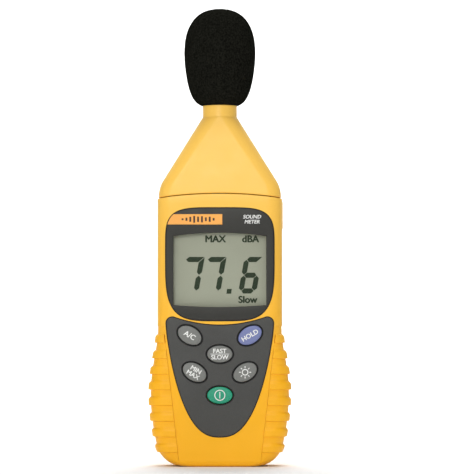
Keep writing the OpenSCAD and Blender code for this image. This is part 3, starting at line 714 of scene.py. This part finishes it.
# A thin black ring in the gap round a plate that sits in the case, from its front depth in the display table
# back to backY: painted shade, a black sheet that stands for the shadow in the gap
def buildGapShade(name, outline, backY):
    d = display
    outer, inner = inset(outline, -d["gapShadeOut"]), inset(outline, d["gapShadeIn"])
    gapShadeRing = roundedFrame(name, outer, inner, d["gapShadeY"], backY, 0.05, 0.05, 1)
    settle(gapShadeRing, "meter", "black_rubber")


def buildDisplay():
    centre = np.array([0, display["middleZ"]])
    outer = byAngle(bezelOutline(1440), centre, 900)
    inner = byAngle(windowOutline(300), centre, 900)
    made = roundedFrame(
        "bezelFrame", outer, inner, display["faceY"], display["backY"],
        display["edge"], display["windowEdge"]
    )
    settle(made, "meter", "bezel_plastic", replaces=["display_bezel"])
    # black rings of painted shade in the gaps round the bezel and the keypad
    buildGapShade("bezelGapShade", bezelOutline(), display["backY"] - 0.05)
    buildGapShade("panelGapShade", panelOutline(), keypad["backY"] - 0.05)


# The keypad plate with its six holes, and in each a crowned key with a thin dark rim round it
def buildKeys():
    panel = roundedPlate("keypadPlate", panelOutline(), keypad["faceY"], keypad["backY"], keypad["edge"])
    tools = [roundedPlate("cutKey", keyOutline(key, cap["gap"]), *holes["throughFront"]) for key in keys]
    carve(panel, tools)
    settle(panel, "meter", "panel_plastic", replaces=["keypad_panel"])
    for key, (x, z, tilt, paint) in keys.items():
        made = roundedPlate(
            key + "Cap", keyOutline(key, 0), cap["frontY"], cap["backY"], cap["edge"], 7, cap["crown"], 6
        )
        settle(made, key + "_key", paint, replaces=["key_" + key])
        outer = keyOutline(key, cap["gap"] + cap["rim"])
        inner = keyOutline(key, cap["gap"] - 0.02)
        rim = roundedFrame(
            key + "Rim", outer, inner, keypad["faceY"] - 0.05, keypad["faceY"] + 0.2, 0.03, 0.03
        )
        settle(rim, "meter", "black_plastic")


windscreen = dict(
    r=18.15, low=181.81, top=231.81, widest=208.01, mouth=9.6, grain=0.11, rows=215, columns=330,
    bore=[[9.0, 182.3], [9.0, 186], [9.0, 190.4], [6.9, 190.5], [6.9, 200], [6.9, 213.7], [0, 213.7]],
)


# The foam ball: a superellipse above its widest place, a tapered one below, a stepped bore inside,
# and the outside pitted by two sizes of noise
def buildWindscreen():
    f = windscreen
    a = np.linspace(halfPi, 0, 120)
    rise = f["top"] - f["widest"]
    up = np.stack([f["r"] * np.cos(a) ** (2 / 2.45), f["widest"] + rise * np.sin(a) ** (2 / 2.45)], 1)
    a = np.linspace(0, halfPi, 120)[1:]
    v = np.sin(a) ** 0.4
    low = np.stack([
        f["r"] * (1 - 0.22 * v ** 1.5) * np.cos(a) ** 0.4, f["widest"] - (f["widest"] - f["low"]) * v
    ], 1)
    low = low[low[:, 0] > f["mouth"]]
    outer = np.concatenate([up, low])
    step = np.concatenate([[0], np.cumsum(np.hypot(*np.diff(outer, axis=0).T))])
    even = np.linspace(0, step[-1], f["rows"])
    outer = np.stack([np.interp(even, step, outer[:, 0]), np.interp(even, step, outer[:, 1])], 1)
    outer[0, 0] = 0
    line = np.concatenate([outer, f["bore"]])
    angle = np.linspace(0, full, f["columns"], endpoint=False)
    grid = np.stack([
        line[:, :1] * np.cos(angle), line[:, :1] * np.sin(angle), line[:, 1:] + 0 * angle
    ], -1)
    pits = softNoise(grid, 0.55, 11) * 0.6 + softNoise(grid, 1.3, 12) * 0.4
    middle = np.array([0, 0, 206.0])
    out = grid - middle
    out /= np.linalg.norm(out, axis=-1, keepdims=True)
    depth = np.zeros(len(line))
    depth[1:f["rows"]] = f["grain"]
    grid = grid + out * (pits - 0.75)[..., None] * depth[:, None, None] * 2
    grid[0] = [0, 0, f["top"] - 0.05]
    made = makeObject("foamBall", grid, gridFaces(len(line), f["columns"], wrapCols=True))
    settle(made, "foam_ball", "foam", replaces=["windscreen"], sharp=60)


# Text as a thin mesh that faces -Y. height is that of a capital; slant leans it like italics;
# bold is how far its copies are moved apart
def makeText(name, words, height, x, z, y, tilt=0, slant=0, bold=0.1, thick=0.05):
    curve = bpy.data.curves.new(name, "FONT")
    curve.body = words
    curve.align_x = "CENTER"
    curve.size = 1
    curve.extrude = 0
    curve.resolution_u = 6
    holder = addObject(name, curve)
    graph = bpy.context.evaluated_depsgraph_get()
    mesh = bpy.data.meshes.new_from_object(holder.evaluated_get(graph))
    bpy.data.objects.remove(holder)
    bpy.data.curves.remove(curve)
    bm = bmesh.new()
    bm.from_mesh(mesh)
    bmesh.ops.remove_doubles(bm, verts=bm.verts, dist=1e-5)
    thickened = bmesh.ops.extrude_face_region(bm, geom=bm.faces[:])
    moved = [v for v in thickened["geom"] if isinstance(v, bmesh.types.BMVert)]
    for v in moved:
        v.co.z += 1
    bmesh.ops.recalc_face_normals(bm, faces=bm.faces)
    bm.to_mesh(mesh)
    bm.free()
    count = len(mesh.vertices)
    p = np.empty(count * 3)
    mesh.vertices.foreach_get("co", p)
    p = p.reshape(-1, 3)
    scale = height / capitalHeight
    flat = p[:, :2] * scale
    flat[:, 1] -= (flat[:, 1].min() + flat[:, 1].max()) / 2
    flat[:, 0] += flat[:, 1] * math.tan(math.radians(slant))
    flat[:, 0] -= (flat[:, 0].min() + flat[:, 0].max()) / 2
    flat = placed(flat, x, z, tilt)
    faces = [list(f.vertices) for f in mesh.polygons]
    bpy.data.meshes.remove(mesh)
    # struck several times, each a little to one side and a hair less deep
    shifts = [(-1, 0), (1, 0), (0, 1), (0, -1), (0, 0)]
    verts, allFaces = [], []
    for k, (right, up) in enumerate(shifts):
        move = placed(np.array([[right * bold, up * bold * 0.7]]), 0, 0, tilt)[0]
        deep = thick * (1 - 0.08 * k)
        verts.append(np.stack([flat[:, 0] + move[0], y - p[:, 2] * deep, flat[:, 1] + move[1]], 1))
        allFaces += [[v + k * count for v in f] for f in faces]
    mesh = bpy.data.meshes.new(name)
    mesh.from_pydata((np.concatenate(verts) * mm).tolist(), [], allFaces)
    return addObject(name, mesh)


# Capital height of the built-in font at size 1, measured on a letter with flat ends
def measureCapital():
    curve = bpy.data.curves.new("measure", "FONT")
    curve.body = "H"
    holder = addObject("measure", curve)
    graph = bpy.context.evaluated_depsgraph_get()
    mesh = bpy.data.meshes.new_from_object(holder.evaluated_get(graph))
    z = [v.co.y for v in mesh.vertices]
    bpy.data.objects.remove(holder)
    bpy.data.curves.remove(curve)
    bpy.data.meshes.remove(mesh)
    return max(z) - min(z)


capitalHeight = measureCapital()


# Flat outlines in x and z as thin prisms, their backs at y
def flatShapes(name, shapes, y, thick=0.05):
    verts, faces, start = [], [], 0
    for shape in shapes:
        n = len(shape)
        verts.append(ringAt(shape, y))
        verts.append(ringAt(shape, y - thick))
        faces.append(list(range(start, start + n)))
        faces.append(list(range(start + 2 * n - 1, start + n - 1, -1)))
        for k in range(n):
            k2 = (k + 1) % n
            faces.append([start + k, start + n + k, start + n + k2, start + k2])
        start += 2 * n
    mesh = bpy.data.meshes.new(name)
    mesh.from_pydata((np.concatenate(verts) * mm).tolist(), [], faces)
    bm = bmesh.new()
    bm.from_mesh(mesh)
    bmesh.ops.recalc_face_normals(bm, faces=bm.faces)
    bm.to_mesh(mesh)
    bm.free()
    return addObject(name, mesh)


digits = dict(
    low=86.9, height=18.4, width=9.1, stroke=2.6, slant=10.3, gap=0.2, y=-13.5, thick=0.04,
    places=((-20.0, "Abc"), (-9.0, "Abc"), (9.1, "acdefg")),
    point=((3.3, 86.8), (5.7, 86.8), (6.0, 89.2), (3.6, 89.2)),
)
# word, x, z, and the height and weight that they share
lcdWords = {"lcdMax": ("MAX", -2.1, 114.4), "lcdUnit": ("dBA", 15.5, 114.4), "lcdSlow": ("Slow", 14.1, 83.9)}
lcdType = dict(height=3.3, bold=0.22)
# name, body, words, height of a capital, distance above the key's middle
keyWords = (
    ("legendWeighting", "weighting", "A/C", 2.5, 0), ("legendHold", "hold", "HOLD", 2.25, 0),
    ("legendFast", "response", "FAST", 2.1, 1.55), ("legendSlow", "response", "SLOW", 2.1, -1.55),
    ("legendMin", "minmax", "MIN", 2.2, 1.45), ("legendMax", "minmax", "MAX", 2.2, -1.45),
)
# half lengths and radii of the signs on the keys, in millimetres
signs = dict(
    rule=(4.7, 0.14), lampRing=(1.65, 1.15), ray=(2.1, 3.05, 0.22), powerRing=(2.75, 2.3), stem=(0.22, 1.6)
)


# A figure of seven bars with pointed ends, mitred at the top right. A is a top bar that stands alone
def figure(x, parts):
    d = digits
    w, h, s, g = d["width"], d["height"], d["stroke"], d["gap"]
    waist = h / 2 + s / 2 + g
    left = np.array([
        [s / 2, h - s / 2 - g], [s, h - s - g], [s, waist], [s / 2, h / 2 + g], [0, waist], [0, h - s],
    ])
    foot = np.array([
        [s / 2 + g, s / 2], [s, s], [w - s, s], [w - s / 2 - g, s / 2], [w - s, 0], [s, 0],
    ])
    bars = {
        "a": np.array([[s / 2 + g, h - s / 2], [s, h], [w - g, h], [w - s - g, h - s], [s, h - s]]),
        "A": np.array([[-0.15, h - s / 2], [s / 2, h], [w - g, h], [w - s - g, h - s], [s / 2, h - s]]),
        "b": np.array([
            [w, h - g], [w, waist], [w - s / 2, h / 2 + g], [w - s, waist], [w - s, h - s - g]
        ]),
        "c": [w, h] - left, "d": foot, "e": left * [1, -1] + [0, h], "f": left,
        "g": foot + [0, h / 2 - s / 2],
    }
    shapes = []
    for part in parts:
        shape = bars[part].copy()
        shape[:, 0] += x + shape[:, 1] * math.tan(math.radians(d["slant"]))
        shape[:, 1] += d["low"]
        shapes.append(shape)
    return shapes


# A rectangle in x and z
def rectangle(x0, x1, z0, z1):
    return np.array([[x0, z0], [x1, z0], [x1, z1], [x0, z1]])


def buildLegends():
    d = digits
    shapes = [shape for x, parts in d["places"] for shape in figure(x, parts)]
    made = flatShapes("lcdFigures", shapes + [np.array(d["point"])], d["y"], d["thick"])
    settle(made, "meter", "segment_ink")
    for name, (word, x, z) in lcdWords.items():
        made = makeText(name, word, lcdType["height"], x, z, d["y"], bold=lcdType["bold"], thick=d["thick"])
        settle(made, "meter", "segment_ink")

    face = cap["frontY"] + 0.005
    for name, key, words, height, up in keyWords:
        x, z, tilt, paint = keys[key]
        at = placed(np.array([[0, up]]), x, z, tilt)[0]
        made = makeText(name, words, height, at[0], at[1], face, tilt)
        settle(made, key + "_key", "legend_white")

    def ring(name, key, radii):
        x, z, _, paint = keys[key]
        outer, inner = [circlePoints(x, z, r) for r in radii]
        made = roundedFrame(name, outer, inner, face - 0.05, face, 0.01, 0.01, 1)
        settle(made, key + "_key", "legend_white")

    def flats(name, key, shapes):
        settle(flatShapes(name, shapes, face), key + "_key", "legend_white")

    x, z = keys["response"][:2]
    half, tall = signs["rule"]
    flats("legendRule", "response", [rectangle(x - half, x + half, z - tall, z + tall)])

    # a lamp sign: a ring with eight short rays
    ring("legendLampRing", "backlight", signs["lampRing"])
    x, z = keys["backlight"][:2]
    near, far, tall = signs["ray"]
    flats("legendLampRays", "backlight", [
        placed(rectangle(near, far, -tall, tall), x, z, 45 * k) for k in range(8)
    ])

    # a power sign: a ring with a bar in it
    ring("legendPowerRing", "power", signs["powerRing"])
    x, z = keys["power"][:2]
    half, tall = signs["stem"]
    flats("legendPowerBar", "power", [rectangle(-half, half, -tall, tall) + [x, z]])


badge = dict(
    low=121.5, top=126.7, right=1.2, y=-17.05, backY=-16.8,
    levels=(0.9, 1.6, 2.5, 3.4, 2.7, 3.1, 1.9, 2.6, 1.3), firstLevel=-19.2, levelPitch=1.95, levelWidth=0.95,
    words=(("badgeSound", "SOUND", 125.4), ("badgeMeter", "METER", 122.9)), wordX=16.2, wordHeight=1.75,
    slant=12, bold=0.07,
)


# An orange strip whose left end follows the bezel's edge, with a row of level bars on it
def buildBadge():
    b = badge
    edge = bezelOutline(2880)
    edge = edge[(edge[:, 0] < 0) & (edge[:, 1] > b["low"]) & (edge[:, 1] < b["top"])]
    edge = edge[np.argsort(edge[:, 1])]
    edge = np.stack([edge[:, 0] + 0.05, edge[:, 1]], 1)
    edge = edge[:: max(1, len(edge) // 60)]
    outline = np.concatenate([[[b["right"], b["low"]]], edge, [[b["right"], b["top"]]]])[::-1]
    made = flatShapes("badgeStrip", [outline], b["backY"], b["backY"] - b["y"])
    settle(made, "meter", "badge_film", replaces=["badge_plate"])
    bars = []
    z = (b["low"] + b["top"]) / 2
    for k, tall in enumerate(b["levels"]):
        x = b["firstLevel"] + k * b["levelPitch"]
        bars.append(rectangle(x, x + b["levelWidth"], z - tall / 2, z + tall / 2))
    settle(flatShapes("badgeBars", bars, b["y"], 0.04), "meter", "badge_ink")
    for name, words, z in b["words"]:
        made = makeText(
            name, words, b["wordHeight"], b["wordX"], z, display["faceY"], slant=b["slant"], bold=b["bold"]
        )
        settle(made, "meter", "legend_white")


door = dict(
    half=16.2, low=7.8, top=65.7, outY=16.5, inY=14.4, lip=0.5,
    grooves=7, firstGroove=12.5, pitch=2.4, depth=0.55, reach=10.5,
    tabs=(("doorTabLeft", -12.5), ("doorTabRight", 4.5)), tabWidth=8, tabY=(11.9, 13.6), tabZ=(62.8, 68.4),
    webY=(13.5, 14.5), webZ=(62.8, 65.6),
)


# The battery door: a plate with rounded edges and finger grooves near its free end, and two hinge tabs
def buildDoor():
    d = door
    x = d["half"] * np.sin(np.linspace(-halfPi, halfPi, 61))
    z = np.unique(np.concatenate([np.linspace(d["low"], d["top"], 60), np.linspace(11, 28, 90)]))
    gx, gz = np.meshgrid(x, z)
    away = np.minimum(d["half"] - np.abs(gx), np.minimum(gz - d["low"], d["top"] - gz))
    lip = d["lip"]
    drop = lip - np.sqrt(np.clip(lip ** 2 - np.clip(lip - away, 0, lip) ** 2, 0, None))
    k = (gz - d["firstGroove"]) / d["pitch"]
    local = (k - np.round(k)) * d["pitch"]
    inside = (np.round(k) >= 0) & (np.round(k) < d["grooves"])
    reach = np.clip((d["reach"] - np.abs(gx)) / 0.6, 0, 1)
    groove = np.where(inside, np.clip(1 - (local / 0.8) ** 2, 0, 1), 0) * d["depth"] * reach
    outer = np.stack([gx, d["outY"] - drop - groove, gz], -1)
    inner = np.stack([gx, d["inY"] + 0 * gx, gz], -1)
    made = patchSolid("doorPlate", outer, inner)
    settle(made, "rear_door", "case_plastic", replaces=["battery_door"])
    for name, x0 in d["tabs"]:
        across = (x0, x0 + d["tabWidth"])
        tab = boxMesh(name, across, d["tabY"], d["tabZ"])
        settle(tab, "rear_door", "case_plastic")
        web = boxMesh(name + "Web", across, d["webY"], d["webZ"])
        settle(web, "rear_door", "case_plastic")


cover = dict(inX=30.45, outX=31.9, half=4.5, low=119.5, top=133.7, corner=1.6, edge=0.45)


# The rubber flap over the jack and the trimmer: a plate with round corners and a rounded outer edge
def buildCover():
    c = cover
    a = np.linspace(0, halfPi, 9)
    corner = np.stack([np.cos(a), np.sin(a)], 1) * c["corner"]
    mid = (c["low"] + c["top"]) / 2
    tall = (c["top"] - c["low"]) / 2 - c["corner"]
    flat = c["half"] - c["corner"]
    outline = np.concatenate([
        corner + [flat, tall], corner[::-1] * [-1, 1] + [-flat, tall],
        corner * [-1, -1] + [-flat, -tall], corner[::-1] * [1, -1] + [flat, -tall],
    ]) + [0, mid]
    made = roundedPlate("coverFlap", outline, 0, c["outX"] - c["inX"], c["edge"], 5)
    turnToSide(made, c["outX"])
    settle(made, "side_cover", "grip_rubber", replaces=["jack_cover"])


# Turns a piece that was drawn facing -Y so that it faces +X, its front at x
def turnToSide(obj, x):
    count = len(obj.data.vertices)
    p = np.empty(count * 3)
    obj.data.vertices.foreach_get("co", p)
    p = p.reshape(-1, 3)
    turned = np.stack([x * mm - p[:, 1], p[:, 0], p[:, 2]], 1)
    obj.data.vertices.foreach_set("co", turned.ravel())
    obj.data.update()


studio = dict(front=-2500, cove=1200, radius=900, top=3500, half=3000, sink=0.02, world=0.27)


# A pale sweep: floor, a round cove and a wall far behind, as one sheet
def buildStage():
    t = studio
    a = np.linspace(0, halfPi, 24)
    r = t["radius"]
    curve = np.stack([t["cove"] + r * np.sin(a), r - r * np.cos(a)], 1)
    line = np.concatenate([[[t["front"], 0]], curve, [[t["cove"] + r, t["top"]]]])
    x = np.linspace(-t["half"], t["half"], 3)
    grid = np.stack([
        np.broadcast_to(x, (len(line), 3)), np.broadcast_to(line[:, :1], (len(line), 3)),
        np.broadcast_to(line[:, 1:], (len(line), 3)),
    ], -1)
    grid[..., 2] -= t["sink"]
    sweep = makeObject("sweep", grid, gridFaces(len(line), 3)[:, ::-1])
    sweep.data.shade_smooth()
    paper = makeFinish("paper", dict(colour=(0.88, 0.88, 0.88), vary=0.004, rough=0.9, bump=(0.001, 800)))
    sweep.data.materials.append(paper)
    world = bpy.data.worlds.new("studio")
    bpy.context.scene.world = world
    world.use_nodes = True
    world.node_tree.nodes["Background"].inputs["Color"].default_value = (1, 1, 1, 1)
    world.node_tree.nodes["Background"].inputs["Strength"].default_value = t["world"]


# name: place, what it points at, size in metres, power in watts, colour
lamps = {
    "key": ((-0.22, -1.30, 0.66), (0, 0, 0.15), 0.70, 8.9, (1.0, 0.985, 0.96)),
    "side": ((-1.15, -0.90, 0.55), (0, 0, 0.10), 0.9, 1.5, (1.0, 0.99, 0.97)),
    "fill": ((1.05, -1.00, 0.45), (0, 0, 0.10), 1.0, 0.7, (0.97, 0.985, 1.0)),
    "top": ((0.05, -0.25, 1.20), (0, 0, 0.12), 0.5, 3.2, (1, 1, 1)),
    "wall": ((0.0, 0.9, 1.9), (0, 2.1, 0.9), 1.6, 38.0, (1, 1, 1)),
    "floor": ((0.0, 1.0, 1.2), (0, 1.25, 0), 1.0, 13.0, (1, 1, 1)),
}


def aimAt(obj, place, target):
    obj.location = place
    obj.rotation_mode = "QUATERNION"
    obj.rotation_quaternion = (Vector(target) - Vector(place)).to_track_quat("-Z", "Y")


def buildLamps():
    for name, (place, target, size, power, colour) in lamps.items():
        data = bpy.data.lights.new(name, "AREA")
        data.shape = "DISK"
        data.size = size
        data.energy = power
        data.color = colour
        aimAt(addObject(name, data), place, target)


eye = dict(place=(0, -1.5, 0.063), target=(0, 0, 0.1158), lens=224.6, shift=0.0362)


def buildCamera():
    data = bpy.data.cameras.new("eye")
    data.lens = eye["lens"]
    data.sensor_width = 36
    data.shift_x = eye["shift"]
    data.clip_start = 0.01
    data.clip_end = 20
    camera = addObject("eye", data)
    aimAt(camera, eye["place"], eye["target"])
    bpy.context.scene.camera = camera
    bpy.context.scene.view_settings.view_transform = "Standard"


stages = [
    ("case", buildCase), ("nose", buildNose), ("grips", buildGrips), ("display", buildDisplay),
    ("keys", buildKeys), ("windscreen", buildWindscreen), ("legends", buildLegends), ("badge", buildBadge),
    ("door", buildDoor), ("cover", buildCover), ("stage", buildStage), ("lamps", buildLamps),
    ("camera", buildCamera),
]
for stageName, build in stages:
    build()
    print("built", stageName)
